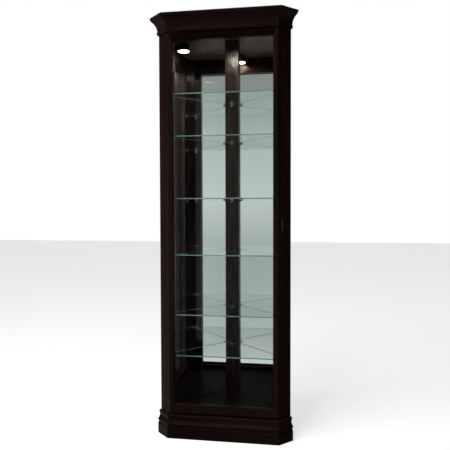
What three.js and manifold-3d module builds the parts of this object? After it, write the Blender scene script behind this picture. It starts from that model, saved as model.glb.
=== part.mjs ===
// Corner curio cabinet: a five-sided case with mirrored back walls, six glass shelves,
// a framed glass door across its whole front, crown and base mouldings, and a lamp.
// Millimetres, +Z up. Plan measures are taken from the front plane of the door (y = 0)
// and the cabinet's centre line (x = 0), then the whole model is shifted so that its
// origin is the centre of its footprint on the floor.
import * as THREE from "three";
import { mergeVertices } from "three/addons/utils/BufferGeometryUtils.js";
import Module from "manifold-3d";

const wasm = await Module();
wasm.setup();

// ---- driving dimensions -------------------------------------------------------------
const HEIGHT = 1980; // floor to the top of the crown
const FRONT_HALF = 256; // half the front face, up to the corner where the cant starts
const CANT = 57; // how far each canted side goes out, and as far back
const BACK_Y = 339; // outer face of the narrow back board
const GAP = 0.3; // clearance between pieces that touch
const DOOR_T = 20; // door thickness
const DOOR_CLEAR = 2; // gap between door and case
const STILE_T = 22; // thickness of the case's front frame
const OPENING_HALF = 234; // half the glazed opening
const DOOR_Z = [118, 1901]; // door bottom and top
const OPENING_Z = [159.5, 1869]; // glazed opening bottom and top
const CEILING_Z = 1956; // underside of the top panel
const DECK_Z = 130; // upper face of the bottom panel
const BOARD_T = 18; // top and bottom panel thickness
const BACKER_T = 5; // back panel thickness
const MIRROR_T = 4; // mirror thickness
const POST_HALF = 34.5; // half the visible face of the back board
const SHELF_T = 5; // shelf glass thickness
const SHELF_TOPS = [381, 578, 866, 1136, 1432, 1632]; // upper faces of the shelves
const CROWN_Z = 1905; // underside of the crown
const CROWN_OUT = 49; // overhang of the crown's top edge
const BASE_TOP = 114; // top of the base moulding
const BASE_OUT = 18; // overhang of the plinth
const REBATE = 10; // width of the ledge that holds the door glass
const MOULD = 5; // moulded inner edge of the door frame
const LEDGE_Y = 9.7; // glass side of that ledge
const GLASS_T = 4; // door glass thickness
const SHELF_FRONT = 46; // front edge of the shelves
const HINGE_S = 16.5; // hinge axis: this far back on the canted edge of the door
const LOCK_Z = 1010; // height of the lock and the finger pull
const LOCK_S = 14; // lock axis: this far back on the canted edge of the door
const PULL_S = 28; // middle of the finger pull, on the same face
const PULL_W = 12;
const LAMP_AT = [-5, 95]; // lamp centre in plan
const LAMP_R = 31; // lamp housing radius
const LAMP_Z = 1916; // mouth of the lamp housing
const FOOT_CLEAR = 14; // underside of the members that carry levelers
const STEM_R = 4; // leveler stem

const R2 = Math.SQRT2;
const SIDE_HALF = FRONT_HALF + CANT; // half the width of the case
const CORNER_Y = SIDE_HALF + CANT; // where the two wall planes would meet
const CASE_Y = DOOR_T + DOOR_CLEAR; // front face of the case frame
const CASE_BACK = CASE_Y + STILE_T; // back face of the case frame
const POST_Y = CORNER_Y - POST_HALF - R2 * (BACKER_T + MIRROR_T + GAP); // back board's inner face
const MITRE = Math.tan(Math.PI / 8); // widening of the front run for each mm of overhang
const SIDES = { left: -1, right: 1 };

// ---- materials ------------------------------------------------------------------------
const finish = (color, roughness, metalness, more = {}) =>
  new THREE.MeshStandardMaterial({ color, roughness, metalness, ...more });
const WOOD = finish(0x1c1211, 0.35, 0);
const INNER_WOOD = finish(0x1a100e, 0.45, 0);
const BACKER = finish(0x2a1d18, 0.7, 0);
const MIRROR = finish(0xdfe8e6, 0.03, 1);
const GLASS = finish(0xd9efe6, 0.03, 0, { transparent: true, opacity: 0.3 });
const NICKEL = finish(0xa8a6a2, 0.3, 1);
const STEEL = finish(0x8d8f92, 0.4, 1);
const CLIP = finish(0xb8bcba, 0.35, 0.2);
const LAMP_METAL = finish(0x2b2a28, 0.4, 0.8);
const BULB_GLASS = finish(0xfff1d8, 0.2, 0);
const RUBBER = finish(0x151515, 0.8, 0);

// ---- shape helpers ----------------------------------------------------------------------
// A closed geometry as a manifold-3d solid.
function solid(geometry) {
  const bare = geometry.index ? geometry.toNonIndexed() : geometry.clone();
  bare.deleteAttribute("normal");
  bare.deleteAttribute("uv");
  const merged = mergeVertices(bare, 1e-4);
  return new wasm.Manifold(
    new wasm.Mesh({
      numProp: 3,
      vertProperties: new Float32Array(merged.attributes.position.array),
      triVerts: new Uint32Array(merged.index.array),
    }),
  );
}

function geometryOf(body) {
  const mesh = body.getMesh();
  return new THREE.BufferGeometry()
    .setAttribute("position", new THREE.BufferAttribute(mesh.vertProperties, 3))
    .setIndex(new THREE.BufferAttribute(mesh.triVerts, 1));
}

const cut = (geometry, ...tools) =>
  geometryOf(tools.reduce((body, tool) => body.subtract(solid(tool)), solid(geometry)));
const join = (geometry, ...others) =>
  geometryOf(others.reduce((body, other) => body.add(solid(other)), solid(geometry)));

function outline(points) {
  return new THREE.Shape(points.map(([a, b]) => new THREE.Vector2(a, b)));
}

// A round hole for an outline.
function circle(x, y, r) {
  const path = new THREE.Path();
  path.absarc(x, y, r, 0, 2 * Math.PI, true);
  return path;
}

// An outline in plan, raised from z0 to z1.
function prism(points, z0, z1) {
  const shape = points instanceof THREE.Shape ? points : outline(points);
  const settings = { depth: z1 - z0, bevelEnabled: false, curveSegments: 16 };
  return new THREE.ExtrudeGeometry(shape, settings).translate(0, 0, z0);
}

// A section drawn as (y, z), run along x.
function alongX(points, x0, x1) {
  return prism(points, x0, x1).applyMatrix4(
    new THREE.Matrix4().makeBasis(
      new THREE.Vector3(0, 1, 0),
      new THREE.Vector3(0, 0, 1),
      new THREE.Vector3(1, 0, 0),
    ),
  );
}

// An outline drawn as (x, z), run along y.
function alongY(points, y0, y1) {
  return prism(points, -y1, -y0).rotateX(Math.PI / 2);
}

function box(x0, x1, y0, y1, z0, z1) {
  return new THREE.BoxGeometry(x1 - x0, y1 - y0, z1 - z0).translate(
    (x0 + x1) / 2,
    (y0 + y1) / 2,
    (z0 + z1) / 2,
  );
}

// A rod with a vertical axis.
function rod(radius, x, y, z0, z1, segments = 24) {
  return new THREE.CylinderGeometry(radius, radius, z1 - z0, segments)
    .rotateX(Math.PI / 2)
    .translate(x, y, (z0 + z1) / 2);
}

// A turned piece: points are (radius, z) about a vertical axis through (x, y).
function turned(points, x, y, segments = 32) {
  const profile = points.map(([r, z]) => new THREE.Vector2(r, z));
  return new THREE.LatheGeometry(profile, segments).rotateX(Math.PI / 2).translate(x, y, 0);
}

const mirrored = (points, side) => points.map(([x, y]) => [x * side, y]);

// Left wall plane: t runs back along the wall from the canted side, d into the cabinet.
const wall = (t, d) => [-SIDE_HALF + (t + d) / R2, CORNER_Y - SIDE_HALF + (t - d) / R2];

// A section of (overhang, height) points run between two plan positions, each a
// function of the overhang, so that both ends come out mitred or square.
function mouldingRun(section, start, end) {
  const flat = section.map(([p, z]) => new THREE.Vector2(p, z));
  if (THREE.ShapeUtils.isClockWise(flat)) flat.reverse();
  const n = flat.length;
  const ring = (place) => flat.flatMap(({ x: p, y: z }) => [...place(p), z]);
  const caps = THREE.ShapeUtils.triangulateShape(flat, []);
  const index = [];
  for (const [a, b, c] of caps) index.push(a, b, c, n + c, n + b, n + a);
  for (let i = 0; i < n; i++) {
    const j = (i + 1) % n;
    index.push(i, n + i, j, j, n + i, n + j);
  }
  const g = new THREE.BufferGeometry()
    .setAttribute("position", new THREE.Float32BufferAttribute([...ring(start), ...ring(end)], 3))
    .setIndex(index);
  if (solid(g).volume() < 0) {
    for (let i = 0; i < index.length; i += 3) [index[i], index[i + 1]] = [index[i + 1], index[i]];
    g.setIndex(index);
  }
  return g;
}

// Front run and the two canted runs of a moulding that wraps the case.
function wrap(name, section, material) {
  const corner = (p, s, slide) => [s * (FRONT_HALF + MITRE * p + slide), -p + Math.max(slide, 0)];
  const half = GAP / 2;
  const front = mouldingRun(
    section,
    (p) => corner(p, -1, -half),
    (p) => corner(p, 1, -half),
  );
  add(name + "_front", front, material);
  for (const [side, s] of Object.entries(SIDES)) {
    const run = mouldingRun(
      section,
      (p) => corner(p, s, half / R2),
      (p) => [s * (SIDE_HALF + p / R2), CORNER_Y - SIDE_HALF - p / R2],
    );
    add(name + "_" + side, run, material);
  }
}

// Points of a circular arc in a section, angles in degrees.
function arc(cx, cz, r, from, to, steps) {
  return Array.from({ length: steps + 1 }, (_, i) => {
    const a = THREE.MathUtils.degToRad(from + ((to - from) * i) / steps);
    return [cx + r * Math.cos(a), cz + r * Math.sin(a)];
  });
}

// ---- assembly -------------------------------------------------------------------------
const cabinet = new THREE.Group();
const inPlan = new THREE.Group(); // everything below is placed from the door's front plane
inPlan.position.y = -(BACK_Y - CROWN_OUT) / 2;
cabinet.add(inPlan);

function add(name, geometry, material) {
  const mesh = new THREE.Mesh(geometry, material);
  mesh.name = name;
  inPlan.add(mesh);
  return mesh;
}

// ---- case -----------------------------------------------------------------------------
const levelerSpots = {
  front_left: [-FRONT_HALF, CASE_Y + STILE_T / 2],
  front_right: [FRONT_HALF, CASE_Y + STILE_T / 2],
  back_left: wall(330, 11),
  back_right: mirrored([wall(330, 11)], -1)[0],
};
const stemBore = (spot) => rod(STEM_R + GAP, ...levelerSpots[spot], 0, 62);
const caseTop = CEILING_Z - GAP;
const SIDE_POST_W = 20; // width of the side posts along the wall
const wallRun = [SIDE_POST_W + GAP, 384]; // stretch of wall from a side post to the back board
const postEdge = BACKER_T + MIRROR_T + GAP; // depth of the mirror's face behind the wall plane
const RAIL_T = 22; // base rail thickness

// Local frame on the right canted face: s from the front corner, d into the wood.
const cantFace = new THREE.Matrix4().makeBasis(
  new THREE.Vector3(1 / R2, 1 / R2, 0),
  new THREE.Vector3(0, 0, 1),
  new THREE.Vector3(1 / R2, -1 / R2, 0),
);
cantFace.setPosition(FRONT_HALF, 0, LOCK_Z);
const onCant = (geometry) => geometry.applyMatrix4(cantFace);

// The slot that the lock's cam swings through, between two distances from the corner.
const CAM_D = [-7, -4.9]; // cam: depth below the canted face
const CAM_LENGTH = 29;
const CAM_W = 8;
function camSlot(s0, s1) {
  const room = [-7, 25]; // below and above the lock axis
  return onCant(box(s0, s1, ...room, CAM_D[0] - 0.6, CAM_D[1] + 0.5));
}

function frontStile(side, s) {
  const section = [
    [s * (FRONT_HALF + CASE_Y), CASE_Y],
    [s * OPENING_HALF, CASE_Y],
    [s * OPENING_HALF, CASE_BACK],
    [s * (FRONT_HALF + CASE_BACK), CASE_BACK],
  ];
  const tools = [stemBore("front_" + side)];
  if (side === "right") tools.push(camSlot(20, 42));
  return cut(prism(section, FOOT_CLEAR, caseTop), ...tools);
}

// Square to the left wall from a point on it, as far forward as y.
const inFront = (point, y) => [point[0] + point[1] - y, y];

function sidePost(s) {
  const section = [
    [-FRONT_HALF - CASE_BACK - GAP, CASE_BACK + GAP],
    wall(0, 0),
    wall(SIDE_POST_W, 0),
    inFront(wall(SIDE_POST_W, 0), CASE_BACK + GAP),
  ];
  return prism(mirrored(section, s * -1), 0, caseTop);
}

// A board lying along the wall plane, from depth d0 to d1.
function wallBoard(s, t, d, z) {
  const section = [wall(t[0], d[0]), wall(t[1], d[0]), wall(t[1], d[1]), wall(t[0], d[1])];
  return prism(mirrored(section, -s), ...z);
}

const deckUnder = DECK_Z - BOARD_T;
for (const [side, s] of Object.entries(SIDES)) {
  const panelZ = [deckUnder, caseTop];
  add("front_stile_" + side, frontStile(side, s), WOOD);
  add("side_post_" + side, sidePost(s), INNER_WOOD);
  add("back_panel_" + side, wallBoard(s, wallRun, [0, BACKER_T], panelZ), BACKER);
  add("mirror_" + side, wallBoard(s, wallRun, [BACKER_T + GAP, postEdge], panelZ), MIRROR);
  const rail = wallBoard(s, wallRun, [0, RAIL_T], [FOOT_CLEAR, deckUnder - GAP]);
  add("base_rail_" + side, cut(rail, stemBore("back_" + side)), INNER_WOOD);
}

const backPost = [
  [-POST_HALF, POST_Y],
  [-POST_HALF - postEdge / R2, POST_Y + postEdge / R2],
  [BACK_Y - CORNER_Y, BACK_Y],
];
const mirroredBack = mirrored(backPost, -1).reverse();
add("back_post", prism([...backPost, ...mirroredBack], 0, caseTop), INNER_WOOD);

const railSpan = OPENING_HALF - GAP;
const HEADER_Z = 1870; // underside of the rail behind the top of the door
const THRESHOLD_Z = [40, 150]; // rail behind the bottom of the door
add("header_rail", box(-railSpan, railSpan, CASE_Y, CASE_BACK, HEADER_Z, caseTop), WOOD);
add("threshold_rail", box(-railSpan, railSpan, CASE_Y, CASE_BACK, ...THRESHOLD_Z), WOOD);

const bevelled = (y0, y1) => [
  [-FRONT_HALF - y0, y0],
  [FRONT_HALF + y0, y0],
  [FRONT_HALF + y1, y1],
  [-FRONT_HALF - y1, y1],
];
const hingeAxis = [-FRONT_HALF - HINGE_S, HINGE_S];
const KNUCKLE_R = 3.4; // round end of a hinge leaf
const PIN_R = 1.7;
const LEAF_LENGTH = 70;
const LEAF_T = 2.7;
const LEAF_FRONT = 9; // reach of a leaf in front of the hinge axis

// A hinge leaf lies flat across the thickness of the door, its round end on the axis.
function leaf(z0, z1) {
  const [x, y] = hingeAxis;
  const shape = new THREE.Shape();
  shape.moveTo(x + LEAF_LENGTH, y - LEAF_FRONT);
  shape.lineTo(x + LEAF_LENGTH, y + KNUCKLE_R);
  shape.lineTo(x, y + KNUCKLE_R);
  shape.absarc(x, y, KNUCKLE_R, Math.PI / 2, 1.5 * Math.PI, false);
  shape.lineTo(x + 4, y - KNUCKLE_R);
  shape.lineTo(x + 12, y - LEAF_FRONT);
  shape.closePath();
  shape.holes.push(circle(x, y, PIN_R + GAP));
  return prism(shape, z0, z1);
}

// The recess for a leaf in the top or bottom edge of the door.
const recessZ = {
  upper: [DOOR_Z[1] - LEAF_T - 2 * GAP, DOOR_Z[1] + 1],
  lower: [DOOR_Z[0] - 1, DOOR_Z[0] + LEAF_T + 2 * GAP],
};
function leafRecess(level) {
  const [x, y] = hingeAxis;
  return box(x - 10, x + LEAF_LENGTH + 1, y - 10, DOOR_T + 1, ...recessZ[level]);
}

add("frieze_rail", prism(bevelled(0, DOOR_T), CROWN_Z, CEILING_Z + BOARD_T), WOOD);
add("base_rail_front", prism(bevelled(0, DOOR_T), 0, BASE_TOP), WOOD);

// The bottom panel fills the plan inside the mirrors.
const deckHalf = [
  inFront(wall(wallRun[0], 0), CASE_BACK + 2 * GAP),
  wall(wallRun[0], postEdge + GAP),
  [(R2 - 1) * GAP - POST_HALF, POST_Y - GAP],
];
const deck = [...deckHalf, ...mirrored(deckHalf, -1).reverse()];
add("base_deck", prism(deck, deckUnder, DECK_Z), INNER_WOOD);

const topHalf = [
  [-FRONT_HALF - CASE_Y, CASE_Y],
  wall(0, 0),
  [BACK_Y - CORNER_Y, BACK_Y],
];
const top = prism([...topHalf, ...mirrored(topHalf, -1).reverse()], CEILING_Z, CEILING_Z + BOARD_T);
const CORD_HOLE_R = 9; // hole in the top panel, lined with a grommet
add("top_panel", cut(top, rod(CORD_HOLE_R, ...LAMP_AT, LAMP_Z, HEIGHT)), INNER_WOOD);

// ---- mouldings --------------------------------------------------------------------------
const crown = [
  [GAP, HEIGHT],
  [CROWN_OUT, HEIGHT],
  [CROWN_OUT, HEIGHT - 8],
  [CROWN_OUT - 3, HEIGHT - 10],
  [CROWN_OUT - 4.5, HEIGHT - 13],
  ...arc(CROWN_OUT + 9, CROWN_Z + 12, 50, 106, 171, 7),
  ...arc(9, CROWN_Z + 10, 4.5, 60, -70, 5),
  [8, CROWN_Z],
  [GAP, CROWN_Z],
];
wrap("crown", crown, WOOD);

const base = [
  [GAP, 0],
  [BASE_OUT, 0],
  [BASE_OUT, 47],
  [BASE_OUT - 1, 50],
  [BASE_OUT - 4, 51.5],
  ...arc(10.5, 66, 8, -62, 62, 6),
  ...arc(17.5, 87, 10, 205, 150, 4),
  ...arc(6.5, 105, 5.5, -60, 70, 5),
  [GAP, BASE_TOP - 2.5],
];
wrap("base_moulding", base, WOOD);

// ---- door -------------------------------------------------------------------------------
const LOCK_R = 3.8; // face of the lock cylinder
const rebateZ = [OPENING_Z[0] - REBATE, OPENING_Z[1] + REBATE];

// Removes the moulded strip of a stile beyond its mitre, so that the rail's strip fits.
function stileMitre(s, z, up) {
  const h = OPENING_HALF + REBATE;
  const wedge = [
    [s * h, z + up * REBATE],
    [s * (OPENING_HALF - 2), z - up * 2],
    [s * (OPENING_HALF - 2), z + up * 60],
    [s * h, z + up * 60],
  ];
  return alongY(wedge, -1, DOOR_T + 1);
}

function doorStile(s) {
  const h = OPENING_HALF;
  const section = [
    [s * FRONT_HALF, 0],
    [s * (h + MOULD), 0],
    [s * (h + MOULD * 0.35), 1.2],
    [s * h, MOULD],
    [s * h, LEDGE_Y],
    [s * (h + REBATE), LEDGE_Y],
    [s * (h + REBATE), DOOR_T],
    [s * (FRONT_HALF + DOOR_T), DOOR_T],
  ];
  const tools = [stileMitre(s, OPENING_Z[0], -1), stileMitre(s, OPENING_Z[1], 1)];
  if (s < 0) {
    tools.push(leafRecess("upper"), leafRecess("lower"));
  } else {
    const bore = new THREE.CylinderGeometry(LOCK_R + 1, LOCK_R + 1, 8, 24).rotateX(Math.PI / 2);
    tools.push(onCant(bore.translate(LOCK_S, 0, -3)), camSlot(8, 30));
  }
  return cut(prism(section, ...DOOR_Z), ...tools);
}

function doorRail(outer, edge, up) {
  const section = [
    [0, outer],
    [0, edge + up * MOULD],
    [1.2, edge + up * MOULD * 0.35],
    [MOULD, edge],
    [LEDGE_Y, edge],
    [LEDGE_Y, edge + up * REBATE],
    [DOOR_T, edge + up * REBATE],
    [DOOR_T, outer],
  ];
  const span = OPENING_HALF + REBATE - GAP;
  const tools = [-1, 1].map((s) => {
    const wedge = [
      [s * (OPENING_HALF + REBATE + 1), edge + up * (REBATE + GAP * R2 + 1)],
      [s * (OPENING_HALF - 3), edge + up * (GAP * R2 - 3)],
      [s * (OPENING_HALF + REBATE + 1), edge + up * (GAP * R2 - 3)],
    ];
    return alongY(wedge, -1, DOOR_T + 1);
  });
  return cut(alongX(section, -span, span), ...tools, leafRecess(up > 0 ? "upper" : "lower"));
}

add("door_stile_left", doorStile(-1), WOOD);
add("door_stile_right", doorStile(1), WOOD);
add("door_rail_top", doorRail(DOOR_Z[1], OPENING_Z[1], 1), WOOD);
add("door_rail_bottom", doorRail(DOOR_Z[0], OPENING_Z[0], -1), WOOD);

const glassHalf = OPENING_HALF + REBATE - 2 * GAP;
const glassZ = [rebateZ[0] + 2 * GAP, rebateZ[1] - 2 * GAP];
const glassBack = LEDGE_Y + GAP + GLASS_T;
add("door_glass", box(-glassHalf, glassHalf, LEDGE_Y + GAP, glassBack, ...glassZ), GLASS);
const BEAD_SET = 2; // the bead that holds the glass stands this far back from the opening
const beadHalf = OPENING_HALF + BEAD_SET;
const beadZ = [OPENING_Z[0] - BEAD_SET, OPENING_Z[1] + BEAD_SET];
const beadOuter = box(-glassHalf, glassHalf, glassBack + GAP, DOOR_T, ...glassZ);
const beadHole = box(-beadHalf, beadHalf, 0, DOOR_T + 10, ...beadZ);
add("glass_retainer", cut(beadOuter, beadHole), WOOD);

// ---- hinges: a pivot at the top and the bottom of the door's left edge ------------------
const leafPairs = {
  upper: { door: DOOR_Z[1] - LEAF_T - GAP, case: CROWN_Z - LEAF_T - GAP },
  lower: { door: DOOR_Z[0] + GAP, case: BASE_TOP + GAP },
};
for (const [level, pair] of Object.entries(leafPairs)) {
  add("hinge_" + level + "_case_leaf", leaf(pair.case, pair.case + LEAF_T), STEEL);
  add("hinge_" + level + "_door_leaf", leaf(pair.door, pair.door + LEAF_T), STEEL);
  const span = [Math.min(pair.case, pair.door), Math.max(pair.case, pair.door) + LEAF_T];
  add("hinge_" + level + "_pin", rod(PIN_R, ...hingeAxis, ...span, 20), STEEL);
}

// ---- lock and finger pull on the right edge of the door ---------------------------------
function oblong(width, height, x = 0) {
  const r = width / 2;
  const straight = height / 2 - r;
  const shape = new THREE.Shape();
  shape.absarc(x, straight, r, 0, Math.PI, false);
  shape.absarc(x, -straight, r, Math.PI, 2 * Math.PI, false);
  shape.closePath();
  return shape;
}

// The plate that the fingers hook behind: it overhangs the gap beside the door.
function fingerPull() {
  const face = prism(oblong(PULL_W, 54, PULL_S), 1.4, 3);
  const foot = box(PULL_S - PULL_W / 2 + 0.5, PULL_S - 1.5, -20, 20, GAP, 2);
  return onCant(join(face, foot));
}
add("finger_pull", fingerPull(), NICKEL);

// The lock plate ends short of the finger pull.
const plateShape = oblong(11.5, 27, LOCK_S);
plateShape.holes.push(circle(LOCK_S, 0, LOCK_R + GAP));
add("lock_escutcheon", onCant(prism(plateShape, GAP, 1.3)), NICKEL);

const TAIL_R = 2.2; // the cylinder's tail, which carries the cam
const lockFace = 1.6;
const cylinder = turned(
  [
    [0, CAM_D[0] - 0.5],
    [TAIL_R, CAM_D[0] - 0.5],
    [TAIL_R, CAM_D[1] + 0.7],
    [LOCK_R, CAM_D[1] + 0.7],
    [LOCK_R, lockFace],
    [0, lockFace],
  ],
  LOCK_S,
  0,
  28,
);
const keyway = box(LOCK_S - 0.6, LOCK_S + 0.6, -2.6, 2.6, -2, lockFace + 1);
add("lock_cylinder", onCant(cut(cylinder, keyway)), NICKEL);
const camMiddle = CAM_LENGTH / 2 - CAM_W / 2; // above the lock axis
const camShape = oblong(CAM_W, CAM_LENGTH, LOCK_S);
camShape.holes.push(circle(LOCK_S, -camMiddle, TAIL_R + GAP));
add("lock_cam", onCant(prism(camShape, ...CAM_D).translate(0, camMiddle, 0)), STEEL);

// ---- shelves and their rear clips ---------------------------------------------------------
const SHELF_CLEAR = 2; // gap between the shelves and the case
const shelfBack = POST_Y - 2 * SHELF_CLEAR;
const shelfDepth = postEdge + SHELF_CLEAR;
const shelfSide = SIDE_POST_W + SHELF_CLEAR;
const shelfHalf = [
  inFront(wall(shelfSide, 0), SHELF_FRONT),
  wall(shelfSide, shelfDepth),
  [R2 * shelfDepth + shelfBack - CORNER_Y, shelfBack],
];
const shelf = [...shelfHalf, ...mirrored(shelfHalf, -1).reverse()];
const CLIP_HALF = 6; // half the width of a clip
const clipBack = POST_Y - GAP;
const clipPlate = POST_Y - 2.6;
const clipEnd = POST_Y - 18;
const clipSection = (z) => [
  [clipBack, z + 4],
  [clipBack, z - 14],
  [clipPlate, z - 14],
  [clipPlate - 0.6, z - 9],
  [clipEnd + 2, z - 3.6],
  [clipEnd, z - 3],
  [clipEnd, z],
  [clipPlate, z],
  [clipPlate, z + 4],
];
SHELF_TOPS.forEach((z, i) => {
  const clip = alongX(clipSection(z - SHELF_T - GAP), -CLIP_HALF, CLIP_HALF);
  add("glass_shelf_" + (i + 1), prism(shelf, z - SHELF_T, z), GLASS);
  add("rear_clip_" + (i + 1), clip, CLIP);
});

// ---- lamp ---------------------------------------------------------------------------------
const lampTop = CEILING_Z - GAP;
const LAMP_WALL = 2;
const housingFloor = lampTop - 6;
const housing = [
  [0, lampTop],
  [LAMP_R - 3, lampTop],
  [LAMP_R, lampTop - 3],
  [LAMP_R, LAMP_Z],
  [LAMP_R - LAMP_WALL, LAMP_Z],
  [LAMP_R - LAMP_WALL, housingFloor],
  [0, housingFloor],
].reverse();
add("lamp_housing", turned(housing, ...LAMP_AT, 40), LAMP_METAL);
const lensR = LAMP_R - LAMP_WALL - GAP;
const lensZ = [LAMP_Z + 2, LAMP_Z + 4.5];
add("lamp_lens", rod(lensR, ...LAMP_AT, ...lensZ, 40), GLASS);
const bulb = [
  [0, LAMP_Z + 12],
  [3, LAMP_Z + 13],
  [4.6, LAMP_Z + 16],
  [4.6, LAMP_Z + 27],
  [3, housingFloor - GAP],
  [0, housingFloor - GAP],
];
add("lamp_bulb", turned(bulb, ...LAMP_AT, 20), BULB_GLASS);
const panelTop = CEILING_Z + BOARD_T;
const CORD_R = 5; // hole for the lamp cord
const grommet = [
  [CORD_R, CEILING_Z + 3],
  [CORD_HOLE_R - 0.4, CEILING_Z + 3],
  [CORD_HOLE_R - 0.4, panelTop + GAP],
  [CORD_HOLE_R + 3.5, panelTop + GAP],
  [CORD_HOLE_R + 3, panelTop + 2],
  [CORD_HOLE_R + 1, panelTop + 3],
  [CORD_R, panelTop + 3],
  [CORD_R, CEILING_Z + 3],
];
add("cord_grommet", turned(grommet, ...LAMP_AT, 28), RUBBER);

// ---- levelers --------------------------------------------------------------------------
for (const [spot, at] of Object.entries(levelerSpots)) {
  const foot = [
    [0, 1],
    [9, 1],
    [10, 2],
    [10, 5],
    [8, 7],
    [STEM_R, 7.6],
    [STEM_R, 50],
    [0, 50],
  ];
  add("leveler_" + spot, turned(foot, ...at, 24), STEEL);
}

export default cabinet;
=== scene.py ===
"""Looks for a corner curio cabinet: dark espresso wood, mirrored back walls, six glass
shelves, a framed glass door across the whole front and a small lamp. All lengths in metres."""

import math

import bmesh
import bpy
from mathutils import Matrix, Vector


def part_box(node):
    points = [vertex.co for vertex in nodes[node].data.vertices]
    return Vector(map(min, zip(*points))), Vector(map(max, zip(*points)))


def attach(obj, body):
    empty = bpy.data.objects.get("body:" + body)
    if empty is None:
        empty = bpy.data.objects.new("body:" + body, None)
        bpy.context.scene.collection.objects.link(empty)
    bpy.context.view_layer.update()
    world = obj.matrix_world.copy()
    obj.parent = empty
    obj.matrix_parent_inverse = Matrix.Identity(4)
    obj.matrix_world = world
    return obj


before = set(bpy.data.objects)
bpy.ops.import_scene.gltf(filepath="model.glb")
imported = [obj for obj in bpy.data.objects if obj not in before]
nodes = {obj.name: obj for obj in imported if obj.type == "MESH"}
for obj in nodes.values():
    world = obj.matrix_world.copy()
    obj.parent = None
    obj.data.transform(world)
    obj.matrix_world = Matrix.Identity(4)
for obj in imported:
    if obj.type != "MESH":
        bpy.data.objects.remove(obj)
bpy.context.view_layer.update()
scene = bpy.context.scene

MM = 0.001
SHELVES = 6
SIDES = {"left": -1, "right": 1}

# ---- camera -------------------------------------------------------------------------------
CAMERA_AT = (0.3929, -2.5642, 1.0924)
CAMERA_YAW = 8.932  # degrees to the left of straight ahead
CAMERA_PITCH = 1.934  # degrees down
CAMERA_ROLL = -0.149
LENS_MM = 42.42


def make_camera():
    data = bpy.data.cameras.new("camera")
    data.lens = LENS_MM
    data.sensor_width = 36
    data.clip_start, data.clip_end = 0.05, 60
    camera = bpy.data.objects.new("camera", data)
    turns = Matrix.Rotation(math.radians(CAMERA_YAW), 4, "Z")
    turns = turns @ Matrix.Rotation(math.radians(90 - CAMERA_PITCH), 4, "X")
    turns = turns @ Matrix.Rotation(math.radians(CAMERA_ROLL), 4, "Z")
    camera.matrix_world = Matrix.Translation(CAMERA_AT) @ turns
    scene.collection.objects.link(camera)
    scene.camera = camera


# ---- node graphs ----------------------------------------------------------------------------
class Graph:
    """Short calls for making and linking the nodes of a material or a world."""

    def __init__(self, owner):
        owner.use_nodes = True
        self.tree = owner.node_tree
        self.tree.nodes.clear()

    def add(self, kind, inputs=None, out=0, **settings):
        node = self.tree.nodes.new("ShaderNode" + kind)
        for key, value in settings.items():
            setattr(node, key, value)
        for key, value in (inputs or {}).items():
            socket = node.inputs[key]
            if isinstance(value, bpy.types.NodeSocket):
                self.tree.links.new(value, socket)
            else:
                socket.default_value = value
        return node.outputs[out] if len(node.outputs) else node

    def math(self, operation, a, b=0.0):
        return self.add("Math", {0: a, 1: b}, operation=operation)

    def spread(self, value, low, high, start=0.0, end=1.0, smooth=False):
        kind = "SMOOTHSTEP" if smooth else "LINEAR"
        ends = {1: low, 2: high, 3: start, 4: end}
        return self.add("MapRange", {0: value, **ends}, interpolation_type=kind, clamp=True)

    def ramp(self, value, stops):
        color = self.add("ValToRGB", {0: value})
        elements = color.node.color_ramp.elements
        while len(elements) < len(stops):
            elements.new(0.5)
        for element, (position, tint) in zip(elements, stops):
            element.position = position
            element.color = (*tint, 1)
        return color

    def noise(self, vector, scale, detail=3.0, rough=0.5, distort=0.0):
        inputs = {"Vector": vector, "Scale": scale, "Detail": detail}
        inputs.update({"Roughness": rough, "Distortion": distort})
        return self.add("TexNoise", inputs)

    def place(self, stretch=(1, 1, 1), turn=0.0, shift=(0, 0, 0)):
        """Object coordinates, turned about the vertical and then stretched."""
        at = self.add("TexCoord", out="Object")
        if turn:
            at = self.add("Mapping", {"Vector": at, "Rotation": (0, 0, math.radians(turn))})
        return self.add("Mapping", {"Vector": at, "Scale": stretch, "Location": shift})

    def facing(self, axis):
        """How squarely a face looks along one of the piece's own axes, from 0 to 1."""
        normal = self.add("VectorTransform", {"Vector": self.add("NewGeometry", out="True Normal")},
                          vector_type="NORMAL", convert_from="WORLD", convert_to="OBJECT")
        return self.math("ABSOLUTE", self.add("SeparateXYZ", {0: normal}, out=axis))

    def bump(self, height, strength, distance):
        values = {"Height": height, "Strength": strength, "Distance": distance}
        return self.add("Bump", values)

    def mix(self, factor, a, b):
        return self.add("MixShader", {0: factor, 1: a, 2: b})

    def surface(self, **values):
        names = {key.replace("_", " "): value for key, value in values.items()}
        return self.add("BsdfPrincipled", names)

    def finish(self, shader):
        self.add("OutputMaterial", {"Surface": shader})


def new_material(name):
    made = bpy.data.materials.new(name)
    return made, Graph(made)


# ---- materials ------------------------------------------------------------------------------
SQUARE_ON = 0.95  # a face counts as looking along an axis above this
GLASS_IOR = 1.5
DOOR_GLASS_IOR = 1.2  # under real glass, to keep the reflections in the door weak
METAL_DIM = 0.88  # darkest tone of a finish, as a share of its colour
MOULDED_DIM = 0.86
BULB_GLOW = 60
LENS_GLOW = 90


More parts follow.
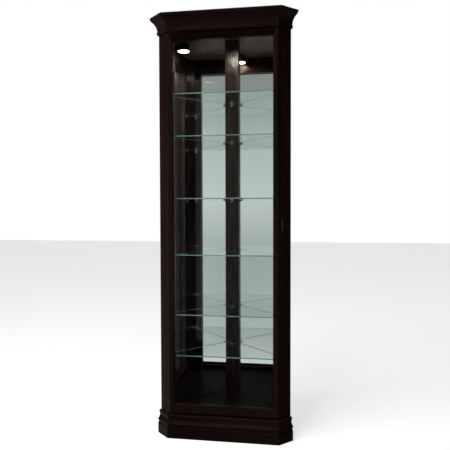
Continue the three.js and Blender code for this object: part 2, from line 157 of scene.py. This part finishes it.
def wood(name, axis="z", dark=(0.0080, 0.0028, 0.0021), light=(0.0230, 0.0088, 0.0070),
         gloss=0.30, shine=0.09, turn=0.0, side_shine=None):
    """Stained, satin-lacquered wood whose grain runs along one axis. Where side_shine is
    given, it replaces the shine of the faces that look along x."""
    made, g = new_material(name)

    def along(across, lengthwise):
        return [lengthwise if axis == a else across for a in "xyz"]

    streaks = g.noise(g.place(along(34, 1.3), turn), 1.0, 6, 0.62, 0.6)
    figure = g.noise(g.place(along(7, 0.9), turn, (3, 1, 2)), 1.0, 3, 0.5, 1.2)
    pores = g.noise(g.place(along(620, 16), turn), 1.0, 2, 0.6)
    tone = g.math("ADD", g.math("MULTIPLY", streaks, 0.62), g.math("MULTIPLY", figure, 0.38))
    color = g.ramp(tone, [(0.34, dark), (0.66, light)])
    open_pores = g.spread(pores, 0.30, 0.46, 0.35, 1.0, smooth=True)
    color = g.add("Mix", {0: 1.0, 6: color, 7: open_pores}, out=2,
                  data_type="RGBA", blend_type="MULTIPLY")
    rough = g.spread(streaks, 0.3, 0.7, gloss + 0.07, gloss - 0.04)
    height = g.math("ADD", g.math("MULTIPLY", open_pores, 0.5), g.math("MULTIPLY", streaks, 0.35))
    normal = g.bump(height, 0.16, 0.35 * MM)
    lacquer = {"Base_Color": color, "Roughness": rough, "Normal": normal}
    shader = g.surface(Specular_IOR_Level=shine, **lacquer)
    if side_shine:
        on_side = g.math("GREATER_THAN", g.facing(0), SQUARE_ON)
        side = g.surface(Specular_IOR_Level=side_shine, **lacquer)
        shader = g.mix(on_side, shader, side)
    g.finish(shader)
    return made


def hardboard():
    made, g = new_material("backer_board")
    fibres = g.noise(g.place(), 420, 4, 0.7)
    clouds = g.noise(g.place(), 5, 3)
    tone = g.math("ADD", g.math("MULTIPLY", fibres, 0.55), g.math("MULTIPLY", clouds, 0.45))
    color = g.ramp(tone, [(0.3, (0.030, 0.015, 0.009)), (0.7, (0.072, 0.040, 0.025))])
    normal = g.bump(fibres, 0.3, 0.4 * MM)
    g.finish(g.surface(Base_Color=color, Roughness=g.spread(fibres, 0.3, 0.7, 0.62, 0.8),
                       Normal=normal, Specular_IOR_Level=0.3))
    return made


def silvered_glass():
    made, g = new_material("mirror")
    haze = g.noise(g.place(), 3.5, 4, 0.6)
    color = g.ramp(haze, [(0.3, (0.850, 0.880, 0.868)), (0.7, (0.870, 0.900, 0.890))])
    g.finish(g.surface(Base_Color=color, Metallic=1.0,
                       Roughness=g.spread(haze, 0.3, 0.7, 0.012, 0.004)))
    return made


def clear_glass(name, tint, flat_axis, painted_edge_glow=0.0, ior=GLASS_IOR):
    """Clear sheet glass. Its faces are clear, and its edges show the green of the glass, with a
    painted glow that they emit.
    """
    made, g = new_material(name)
    smears = g.noise(g.place(), 6, 3, 0.6, 1.0)
    clear = g.surface(Base_Color=(*tint, 1), Roughness=g.spread(smears, 0.45, 0.8, 0.0, 0.02),
                      IOR=ior, Transmission_Weight=1.0)
    path = g.add("LightPath", out="Is Shadow Ray").node
    passes = g.math("MAXIMUM", path.outputs["Is Shadow Ray"], path.outputs["Is Diffuse Ray"])
    through = g.add("BsdfTransparent", {"Color": (*[0.96 * c for c in tint], 1)})
    faces = g.mix(passes, clear, through)
    ripple = g.noise(g.place((9, 9, 60)), 1.0, 3, 0.6)
    edge_color = g.ramp(ripple, [(0.3, (0.16, 0.33, 0.25)), (0.7, (0.36, 0.56, 0.46))])
    # painted light: the edges emit a faint glow in their own green
    edge = g.surface(Base_Color=edge_color, Roughness=0.12, IOR=GLASS_IOR, Transmission_Weight=0.45,
                     Emission_Color=edge_color, Emission_Strength=painted_edge_glow)
    on_edge = g.math("LESS_THAN", g.facing(flat_axis), 0.5)
    g.finish(g.mix(on_edge, faces, edge))
    return made


def metal(name, color, rough, brush):
    """Metal with fine marks drawn out along the short side of brush."""
    made, g = new_material(name)
    marks = g.noise(g.place(brush), 1.0, 4, 0.65)
    dim = [c * METAL_DIM for c in color]
    tone = g.ramp(marks, [(0.3, dim), (0.7, color)])
    normal = g.bump(marks, 0.12, 0.1 * MM)
    g.finish(g.surface(Base_Color=tone, Metallic=1.0, Normal=normal,
                       Roughness=g.spread(marks, 0.3, 0.7, rough + 0.08, rough - 0.05)))
    return made


def moulded(name, color, rough, clear=0.0):
    """Moulded plastic or rubber with a faint orange-peel surface."""
    made, g = new_material(name)
    peel = g.noise(g.place(), 900, 2)
    clouds = g.noise(g.place(), 60, 2)
    tone = g.ramp(clouds, [(0.3, [c * MOULDED_DIM for c in color]), (0.7, color)])
    g.finish(g.surface(Base_Color=tone, Roughness=g.spread(clouds, 0.3, 0.7, rough + 0.06, rough),
                       Normal=g.bump(peel, 0.1, 0.1 * MM), Transmission_Weight=clear))
    return made


def lit_bulb():
    made, g = new_material("bulb")
    height = g.add("SeparateXYZ", {0: g.add("TexCoord", out="Generated")}, out=2)
    glow = g.ramp(height, [(0.0, (1.0, 0.80, 0.52)), (0.7, (1.0, 0.90, 0.74)),
                           (1.0, (0.5, 0.40, 0.30))])
    g.finish(g.surface(Base_Color=glow, Roughness=0.2, Emission_Color=glow,
                       Emission_Strength=BULB_GLOW))
    return made


def frosted_lens():
    made, g = new_material("lamp_lens")
    prisms = g.noise(g.place(), 700, 2)
    glow = g.ramp(prisms, [(0.3, (1.0, 0.86, 0.66)), (0.7, (1.0, 0.95, 0.86))])
    g.finish(g.surface(Base_Color=glow, Roughness=0.25, Transmission_Weight=0.6,
                       Normal=g.bump(prisms, 0.2, 0.3 * MM),
                       Emission_Color=glow, Emission_Strength=LENS_GLOW))
    return made


def dress(material, *names):
    """Gives a material to CAD nodes, each named in full or by the start of its name."""
    for name, node in nodes.items():
        if any(name == n or (n.endswith("*") and name.startswith(n[:-1])) for n in names):
            node.data.materials.clear()
            node.data.materials.append(material)


def dress_nodes():
    upright = wood("espresso_upright", side_shine=1.0)
    level = wood("espresso_level", "x")
    inside = {"dark": (0.0080, 0.0030, 0.0021), "light": (0.0220, 0.0092, 0.0068)}
    dress(upright, "front_stile_*", "door_stile_*", "glass_retainer")
    dress(level, "crown_front", "base_moulding_front", "frieze_rail", "header_rail",
          "threshold_rail", "door_rail_bottom")
    # the door's top rail is painted darker: painted shade from the crown that overhangs it
    dress(wood("espresso_crown_shaded_board", "x", (0.0035, 0.0008, 0.0006), (0.0085, 0.0022, 0.0018),
               shine=0.03), "door_rail_top")
    dress(wood("inner_upright", **inside), "side_post_*")
    dress(wood("inner_post", gloss=0.26, shine=0.4, **inside), "back_post")
    dress(wood("inner_level", "x", (0.0022, 0.0012, 0.0010), (0.0060, 0.0034, 0.0028), 0.4, 0.02),
          "base_deck", "base_rail_front")
    # the ceiling panel is painted much lighter than the other inside wood: painted light and painted
    # reflection of the lit shelves below it
    dress(wood("ceiling_painted_light", "x", (0.082, 0.046, 0.037), (0.175, 0.108, 0.088), gloss=0.5, shine=0.6),
          "top_panel")
    for side, turn in {"left": 45, "right": -45}.items():
        cant = wood("espresso_cant_" + side, "x", turn=turn)
        dress(cant, "crown_" + side, "base_moulding_" + side)
        dress(wood("inner_wall_" + side, "x", turn=-turn, **inside), "base_rail_" + side)
    dress(hardboard(), "back_panel_*")
    dress(silvered_glass(), "mirror_*")
    # the shelf edges get a painted glow of 0.10
    dress(clear_glass("shelf_glass", (0.945, 0.985, 0.972), 2, 0.10), "glass_shelf_*")
    dress(clear_glass("door_glass", (0.97, 0.99, 0.98), 1, ior=DOOR_GLASS_IOR), "door_glass")
    nickel = metal("satin_nickel", (0.50, 0.46, 0.44), 0.30, (1200, 1200, 60))
    dress(nickel, "finger_pull")
    bronze = metal("dark_bronze", (0.085, 0.070, 0.060), 0.38, (900, 900, 60))
    dress(bronze, "lock_escutcheon", "lock_cylinder", "lamp_housing")
    dress(metal("steel", (0.42, 0.42, 0.43), 0.36, (60, 900, 900)),
          "hinge_*", "leveler_*", "lock_cam")
    dress(CLIP, "rear_clip_*")
    dress(frosted_lens(), "lamp_lens")
    dress(lit_bulb(), "lamp_bulb")
    dress(moulded("rubber", (0.012, 0.012, 0.012), 0.6), "cord_grommet")


# ---- eased edges ----------------------------------------------------------------------------
def ease(piece, width, segments=2):
    """Rounds a piece's edges slightly, as sanding and polishing do."""
    weld = piece.modifiers.new("weld", "WELD")
    weld.merge_threshold = 0.01 * MM
    flatten = piece.modifiers.new("flatten", "DECIMATE")
    flatten.decimate_type = "DISSOLVE"
    flatten.angle_limit = math.radians(0.5)
    bevel = piece.modifiers.new("ease", "BEVEL")
    bevel.width = width
    bevel.segments = segments
    bevel.limit_method = "ANGLE"
    bevel.angle_limit = math.radians(36)
    bevel.miter_outer = "MITER_ARC"
    for face in piece.data.polygons:
        face.use_smooth = True
    shade = piece.modifiers.new("shade", "WEIGHTED_NORMAL")
    shade.keep_sharp = False


EASED = {
    "door_stile_": 1.2,
    "door_rail_": 0.5,
    "front_stile_": 1.0,
    "side_post_": 1.0,
    "back_post": 0.6,
    "header_rail": 0.8,
    "threshold_rail": 0.8,
    "frieze_rail": 0.8,
    "crown_": 0.7,
    "base_moulding_": 0.7,
    "base_deck": 0.5,
    "base_rail_": 0.8,
    "top_panel": 0.8,
    "glass_retainer": 0.5,
    "glass_shelf_": 0.5,
    "mirror_": 0.2,
    "back_panel_": 0.2,
    "finger_pull": 0.5,
    "lock_escutcheon": 0.25,
    "lock_cylinder": 0.2,
    "lock_cam": 0.3,
    "hinge_": 0.2,
    "rear_clip_": 0.4,
    "leveler_": 0.3,
    "lamp_housing": 0.4,
    "cord_grommet": 0.3,
}


def ease_nodes():
    for name, node in nodes.items():
        for start, width in EASED.items():
            if name.startswith(start):
                ease(node, width * MM)
                break


# ---- fine pieces ----------------------------------------------------------------------------
def link(name, mesh):
    piece = bpy.data.objects.new(name, mesh)
    scene.collection.objects.link(piece)
    return piece


def extruded(name, outline, depth, matrix, material):
    """A flat outline drawn in x and y, drawn out along z from -depth / 2, then placed."""
    mesh = bpy.data.meshes.new(name)
    bm = bmesh.new()
    low = [bm.verts.new((x, y, -depth / 2)) for x, y in outline]
    high = [bm.verts.new((x, y, depth / 2)) for x, y in outline]
    bm.faces.new(low)
    bm.faces.new(high)
    for i in range(len(outline)):
        j = (i + 1) % len(outline)
        bm.faces.new((low[i], low[j], high[j], high[i]))
    bmesh.ops.recalc_face_normals(bm, faces=bm.faces)
    bm.transform(matrix)
    bm.to_mesh(mesh)
    bm.free()
    mesh.materials.append(material)
    return link(name, mesh)


CLIP_WIDTH = 12 * MM
CLIP_REACH = 13 * MM  # how far a clip's lug reaches under the shelf
CLIP_PLATE = 1.5 * MM
CLIP_DROP = 15 * MM
CLIP_GAP = 0.2 * MM  # clear of the stile
CLIP_LIP = 1.5 * MM  # how far a clip rises above the glass
CLIP_TIP = 3 * MM  # thickness of the lug at its end
CLIP_ROOT = 8 * MM  # and where it meets the plate
CLIP_INSET = 7 * MM  # from the corner of the shelf
UNDER_GLASS = 0.3 * MM


def front_clips():
    """Clips on the back of the front stiles, which carry the front corners of each shelf."""
    stile_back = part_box("front_stile_left")[1].y
    for number in range(1, SHELVES + 1):
        low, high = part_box("glass_shelf_%d" % number)
        under = low.z - UNDER_GLASS
        top = high.z + CLIP_LIP
        section = [
            (CLIP_GAP, top),
            (CLIP_GAP, under - CLIP_DROP),
            (CLIP_PLATE, under - CLIP_DROP),
            (CLIP_PLATE + 1 * MM, under - CLIP_ROOT),
            (CLIP_REACH, under - CLIP_TIP),
            (CLIP_REACH, under),
            (CLIP_PLATE, under),
            (CLIP_PLATE, top),
        ]
        for side, s in SIDES.items():
            at = (s * (front_half_width(number) - CLIP_INSET), stile_back, 0)
            axes = Matrix(((0, 0, 1, 0), (1, 0, 0, 0), (0, 1, 0, 0), (0, 0, 0, 1)))
            name = "front_clip_%s_%d" % (side, number)
            clip = extruded(name, section, CLIP_WIDTH, Matrix.Translation(at) @ axes, CLIP)
            ease(clip, 0.4 * MM)
            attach(clip, "cabinet")


def front_half_width(number):
    """Half the width of a shelf's front edge."""
    shelf = nodes["glass_shelf_%d" % number].data
    front = min(v.co.y for v in shelf.vertices)
    return max(v.co.x for v in shelf.vertices if v.co.y < front + 1 * MM)


# ---- studio -----------------------------------------------------------------------------------
# Azimuths in degrees, from straight out of the cabinet's front toward its right. A zone fades
# in over its first two and out over its last two.
LEFT_WALL = (-140, -125, -85, -76)
FRONT_FLAG = (-76, -70, -3, 1)
FRONT_WALL = (0, 3, 18, 30)
RIGHT_FLAG = (30, 40, 140, 150)
LOW_ELEVATIONS = (-50, -40, 24, 36)
RIGHT_FLAG_ELEVATIONS = (-50, -40, 60, 80)
FLAG_COLOR = (0.018, 0.018, 0.018, 1)


def make_world():
    """A dim studio with dark flags and a pale wall, which the cabinet reflects. Seen directly
    or through glass, it is plain white."""
    world = bpy.data.worlds.new("studio")
    scene.world = world
    g = Graph(world)
    direction = g.add("TexCoord", out="Generated")
    x, y, z = (g.add("SeparateXYZ", {0: direction}, out=i) for i in range(3))
    degrees = 180 / math.pi
    azimuth = g.math("MULTIPLY", g.math("ARCTAN2", x, g.math("MULTIPLY", y, -1.0)), degrees)
    elevation = g.math("MULTIPLY", g.math("ARCSINE", z), degrees)

    def band(value, rise, top, fall, end):
        up = g.spread(value, rise, top, smooth=True)
        down = g.spread(value, fall, end, 1.0, 0.0, smooth=True)
        return g.math("MULTIPLY", up, down)

    def by_height(stops):
        """Grey by elevation, given as (degrees, brightness)."""
        return g.ramp(g.spread(elevation, -90, 90), [((e + 90) / 180, (v,) * 3) for e, v in stops])

    def over(color, where, patch):
        return g.add("Mix", {0: where, 6: color, 7: patch}, out=2, data_type="RGBA")

    low = band(elevation, *LOW_ELEVATIONS)
    color = by_height([(-30, 0.20), (-8, 0.10), (18, 0.06), (38, 0.16), (60, 0.40), (90, 0.40)])
    # a pale floor and a dim wall at the left, then a dark flag in front and to the left
    left = by_height([(-24, 0.42), (-10, 0.26), (0, 0.20), (18, 0.05)])
    color = over(color, g.math("MULTIPLY", band(azimuth, *LEFT_WALL), low), left)
    flag = g.math("MULTIPLY", band(azimuth, *FRONT_FLAG), low)
    color = over(color, flag, FLAG_COLOR)
    # the pale wall that the mirrors look at, right of the camera
    wall = g.ramp(g.spread(elevation, -20, 20), [
        (0.00, (0.80, 0.82, 0.81)),
        (0.11, (0.76, 0.78, 0.77)),
        (0.18, (0.53, 0.58, 0.56)),
        (0.36, (0.45, 0.49, 0.49)),
        (0.52, (0.71, 0.74, 0.76)),
        (0.68, (0.57, 0.62, 0.63)),
        (0.80, (0.34, 0.35, 0.34)),
        (0.90, (0.33, 0.33, 0.32)),
    ])
    color = over(color, g.math("MULTIPLY", band(azimuth, *FRONT_WALL), low), wall)
    tall = band(elevation, *RIGHT_FLAG_ELEVATIONS)
    right = g.math("MULTIPLY", band(azimuth, *RIGHT_FLAG), tall)
    color = over(color, right, FLAG_COLOR)
    studio = g.add("Background", {"Color": color, "Strength": 1.0})
    plain = g.add("Background", {"Color": (1, 1, 1, 1), "Strength": 1.0})
    path = g.add("LightPath", out="Is Camera Ray").node.outputs
    bounced = g.math("ADD", path["Glossy Depth"], path["Diffuse Depth"])
    through_glass = g.math("MULTIPLY", path["Is Transmission Ray"], g.math("LESS_THAN", bounced, 0.5))
    seen = g.math("MAXIMUM", path["Is Camera Ray"], through_glass)
    g.add("OutputWorld", {"Surface": g.mix(seen, studio, plain)})


FLOOR_WIDTH = 28
FLOOR_LIFT = 0.62  # light added where the camera sees the floor, to make it nearly white


def make_floor():
    """A pale floor, almost white where the camera sees it, with a soft contact shadow."""
    mesh = bpy.data.meshes.new("floor")
    half = FLOOR_WIDTH / 2
    corners = [(-half, -half, 0), (half, -half, 0), (half, half, 0), (-half, half, 0)]
    mesh.from_pydata(corners, [], [(0, 1, 2, 3)])
    floor = link("floor", mesh)
    made, g = new_material("floor_paper")
    fibre = g.noise(g.place(), 140, 3)
    paper = g.ramp(fibre, [(0.3, (0.86, 0.86, 0.86)), (0.7, (0.90, 0.90, 0.90))])
    shade = g.add("BsdfDiffuse", {"Color": paper})
    lift = g.add("Emission", {"Color": (1, 1, 1, 1), "Strength": FLOOR_LIFT})
    lifted = g.add("AddShader", {0: shade, 1: lift})
    g.finish(g.mix(g.add("LightPath", out="Is Camera Ray"), shade, lifted))
    mesh.materials.append(made)
    floor.visible_glossy = False
    floor.visible_transmission = False


def area_light(name, at, target, size, power):
    data = bpy.data.lights.new(name, "AREA")
    data.shape = "RECTANGLE"
    data.size, data.size_y = size
    data.energy = power
    light = bpy.data.objects.new(name, data)
    light.location = at
    aim = (Vector(target) - Vector(at)).to_track_quat("-Z", "Y")
    light.rotation_mode = "QUATERNION"
    light.rotation_quaternion = aim
    scene.collection.objects.link(light)
    return light


LAMP_POWER = 1.2
LAMP_COLOR = (1.0, 0.84, 0.62)
LAMP_SPREAD = 125  # degrees
LAMP_RADIUS = 18 * MM
BELOW_LENS = 5 * MM


def make_lights():
    """A soft light overhead, a tall panel left of the camera, a far strip and the lamp."""
    overhead = area_light("overhead", (-1.7, -1.9, 3.3), (0, 0, 0.8), (2.0, 2.0), 60)
    overhead.visible_glossy = False
    area_light("upright", (-0.53, -2.5, 1.05), (0.06, -0.13, 1.05), (0.2, 2.4), 1.5)
    area_light("strip", (-1.2, -4.6, 7.4), (0, -0.1, 0.6), (1.1, 3.2), 75)
    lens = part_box("lamp_lens")
    middle = (lens[0] + lens[1]) / 2
    data = bpy.data.lights.new("lamp", "SPOT")
    data.energy = LAMP_POWER
    data.color = LAMP_COLOR
    data.spot_size = math.radians(LAMP_SPREAD)
    data.spot_blend = 0.6
    data.shadow_soft_size = LAMP_RADIUS
    lamp = bpy.data.objects.new("lamp", data)
    lamp.location = (middle.x, middle.y, lens[0].z - BELOW_LENS)
    scene.collection.objects.link(lamp)


scene.view_settings.view_transform = "Standard"
# the mirrors and the shelves pass light back and forth many times
scene.cycles.max_bounces = 24
scene.cycles.transmission_bounces = 24
scene.cycles.glossy_bounces = 10
scene.cycles.transparent_max_bounces = 24

CLIP = moulded("shelf_clip", (0.30, 0.31, 0.30), 0.3, 0.25)
make_camera()
dress_nodes()
ease_nodes()
front_clips()
make_world()
make_floor()
make_lights()
